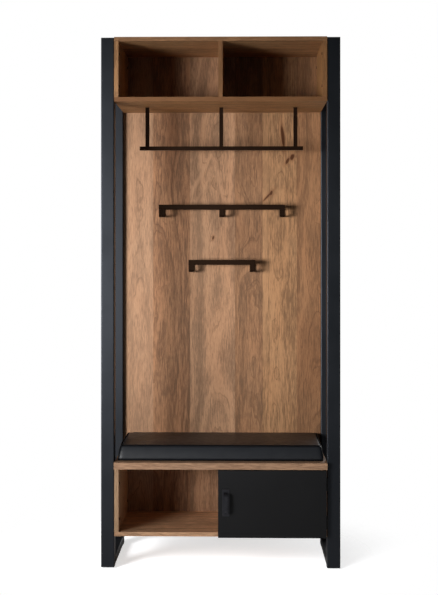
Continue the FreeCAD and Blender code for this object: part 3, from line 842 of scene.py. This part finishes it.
def leather(name, code, roughness, pebble, shine):
    """Pebble cells and fine creases give the bump; the roughness follows the creases."""
    material, tree = blank_material(name)
    place = add(tree, "TexCoord").outputs["Object"]
    cells = add(tree, "TexVoronoi", {}, {"Vector": place, "Scale": mm(pebble)}).outputs["Distance"]
    creases = add(tree, "TexNoise", {}, {"Vector": place, "Scale": mm(CREASE), "Detail": 4.0})
    height = add(tree, "Math", PRODUCT_SUM, {0: creases, 1: CREASE_HEIGHT, 2: cells})
    gloss = add(tree, "MapRange", {}, {
        "Value": creases, "From Min": 0.3, "From Max": 0.7,
        "To Min": roughness - LEATHER_UNEVEN, "To Max": roughness + LEATHER_UNEVEN})
    bump = add(tree, "Bump", {}, {"Strength": 0.25, "Distance": 0.0004, "Height": height})
    shader = add(tree, "BsdfPrincipled", {}, {
        "Base Color": colour(code), "Roughness": gloss, "IOR": 1.5,
        "Specular IOR Level": shine, "Normal": bump})
    add(tree, "OutputMaterial", {}, {"Surface": shader})
    return material


cushion.data.materials.clear()
cushion.data.materials.append(leather("black_leather", "#1c1e22", 0.46, pebble=2.4, shine=0.36))
# the remeshing forgot that the faces are smooth
cushion.data.polygons.foreach_set("use_smooth", np.ones(len(cushion.data.polygons), bool))
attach(cushion, "cushion")
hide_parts("seat_cushion")
# near-black matt piping: painted shade for the shadow in the seams
cord = leather("black_piping_painted_seam_shade", "#08080a", 0.75, pebble=1.6, shine=0.08)
for piping in pipings:
    piping.data.materials.append(cord)
    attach(piping, "cushion")
print("cushion and", len(pipings), "pipings ride on the cushion body")

# %% [markdown]
# ## Studio floor
#
# A white floor runs out into white air, so there is no horizon. It is a disc
# that turns clear. Where it is seen, it does so within a metre, so that only
# the shadow close to the furniture stays. For the light that it gives back, it
# reaches further out. A little glow of its own lifts it to the white of the air.

# %% Floor
FLOOR_RADIUS = 6.0
FLOOR_GLOW = 0.60
SEEN_START, SEEN_END = 0.20, 0.95      # m over which the floor turns clear where it is seen
LIT_START, LIT_END = 1.2, 4.5          # m over which it does so for the light
SHADOW_MIDDLE = (-0.10, 0.05, 0.0)


def disc(name, radius, rings=24, count=96):
    """Flat disc that faces up: ring i of n lies at radius * (i / n) ^ 1.5, and a face closes the middle."""
    r = radius * np.linspace(0.0, 1.0, rings + 1)[1:] ** 1.5
    angle = np.linspace(0, 2 * math.pi, count, endpoint=False)
    points = np.stack([np.outer(r, np.cos(angle)), np.outer(r, np.sin(angle)), np.zeros((rings, count))], 2)
    return mesh_object(name, points.reshape(-1, 3), ring_faces(rings, count)[:, ::-1], [np.arange(count)])


floor = disc("studio_floor", FLOOR_RADIUS)
floor_paint, tree = blank_material("white_studio_paint")
seen = add(tree, "LightPath").outputs["Is Camera Ray"]
paint = add(tree, "Mix", COLOURS, {0: seen, 6: colour("#d5d5d5"), 7: colour("#f0f2f5")}).outputs[2]
matt = add(tree, "BsdfDiffuse", {}, {"Color": paint})
glow = add(tree, "Math", PRODUCT, {0: seen, 1: FLOOR_GLOW})
glow = add(tree, "Emission", {}, {"Color": WHITE, "Strength": glow})
solid = add(tree, "AddShader", {}, {0: matt, 1: glow})
place = add(tree, "TexCoord").outputs["Object"]
away = add(tree, "VectorMath", {"operation": "DISTANCE"}, {0: place, 1: SHADOW_MIDDLE}).outputs["Value"]
near = add(tree, "MapRange", SOFT_STEP, {"Value": away, "From Min": SEEN_START, "From Max": SEEN_END})
far = add(tree, "MapRange", SOFT_STEP, {"Value": away, "From Min": LIT_START, "From Max": LIT_END})
fade = add(tree, "Mix", {"data_type": "FLOAT"}, {0: seen, 2: far, 3: near})
clear = add(tree, "BsdfTransparent", {}, {"Color": WHITE})
blend = add(tree, "MixShader", {}, {0: fade, 1: solid, 2: clear})
add(tree, "OutputMaterial", {}, {"Surface": blend})
floor.data.materials.append(floor_paint)
print("floor:", len(floor.data.polygons), "faces,", 2 * FLOOR_RADIUS, "m across")

# %% [markdown]
# ## Air
#
# The air is white where it is seen, and gives far less light than it shows, so
# that the niches stay dark. The shaded sides get what the floor and the air
# give back.

# %% Air
AIR_LIGHT, AIR_SEEN = 0.055, 1.0
world = bpy.data.worlds.new("white_air")
world.use_nodes = True
tree = world.node_tree
tree.nodes.clear()
seen = add(tree, "LightPath").outputs["Is Camera Ray"]
dim = add(tree, "Background", {}, {"Color": WHITE, "Strength": AIR_LIGHT})
bright = add(tree, "Background", {}, {"Color": WHITE, "Strength": AIR_SEEN})
both = add(tree, "MixShader", {}, {0: seen, 1: dim, 2: bright})
add(tree, "OutputWorld", {}, {"Surface": both})
bpy.context.scene.world = world
print("air gives", AIR_LIGHT, "and shows", AIR_SEEN)

# %% [markdown]
# ## Lamps
#
# The key lamp is one wide soft box at the left, behind a grid that keeps its
# light off the floor; it models the boxes and throws soft shadows to the right.
# A second soft box stands behind, for the back; it leaves the floor out, or it
# would wash out the shadow there. The floor has a low, wide lamp of its own,
# which keeps it white and lays the furniture's shadow on it, to the back and
# the right.

# %% Lamps
def softbox(name, place, target, width, height, power, beam=180):
    """Rectangular lamp that faces a point; beam is the angle in degrees that its grid lets out."""
    lamp = bpy.data.lights.new(name, "AREA")
    lamp.shape, lamp.size, lamp.size_y, lamp.energy = "RECTANGLE", width, height, power
    lamp.spread = math.radians(beam)
    thing = bpy.data.objects.new(name, lamp)
    thing.location = place
    thing.rotation_euler = (Vector(target) - Vector(place)).to_track_quat("-Z", "Y").to_euler()
    thing.visible_camera = False
    bpy.context.scene.collection.objects.link(thing)
    return thing


def link_to_floor(lamp, name, state):
    """Lets a lamp light only the floor, with INCLUDE, or all but the floor, with EXCLUDE."""
    group = bpy.data.collections.new(name)
    group.objects.link(floor)
    group.collection_objects[0].light_linking.link_state = state
    lamp.light_linking.receiver_collection = group


softbox("key_lamp", place=(-2.67, -2.78, 1.12), target=(-0.40, 0.10, 1.10),
        width=1.8, height=1.0, power=25.0, beam=44)
back_fill = softbox("back_fill", place=(1.4, 2.8, 1.8), target=(0.0, 0.0, 1.0),
                    width=2.0, height=2.0, power=45.0)
link_to_floor(back_fill, "all_but_floor", "EXCLUDE")

BACK_AND_RIGHT = (0.80, 1.20, -0.75)
sun = bpy.data.lights.new("floor_lamp", "SUN")
sun.energy, sun.angle = 3.57, math.radians(20)
floor_lamp = bpy.data.objects.new("floor_lamp", sun)
floor_lamp.rotation_euler = Vector(BACK_AND_RIGHT).to_track_quat("-Z", "Y").to_euler()
bpy.context.scene.collection.objects.link(floor_lamp)
link_to_floor(floor_lamp, "floor_only", "INCLUDE")

# %% [markdown]
# ## Camera
#
# The camera stands 4.5 m in front, at chest height, a little right of the
# middle, and level, so that the posts stay upright. It is turned one degree to
# look at the piece, and the lens is shifted down instead of tilted.

# %% Camera
lens = bpy.data.cameras.new("camera")
lens.lens, lens.sensor_width = 72.8, 36.0
lens.shift_y = -0.0714
camera = bpy.data.objects.new("camera", lens)
camera.location = (0.0757, -4.696, 1.180)
camera.rotation_euler = (math.radians(90), 0.0, math.radians(1.03))
bpy.context.scene.collection.objects.link(camera)
bpy.context.scene.camera = camera
bpy.context.scene.view_settings.view_transform = "Standard"
print("lens", round(lens.lens, 1), "mm, camera at", [round(v, 3) for v in camera.location])
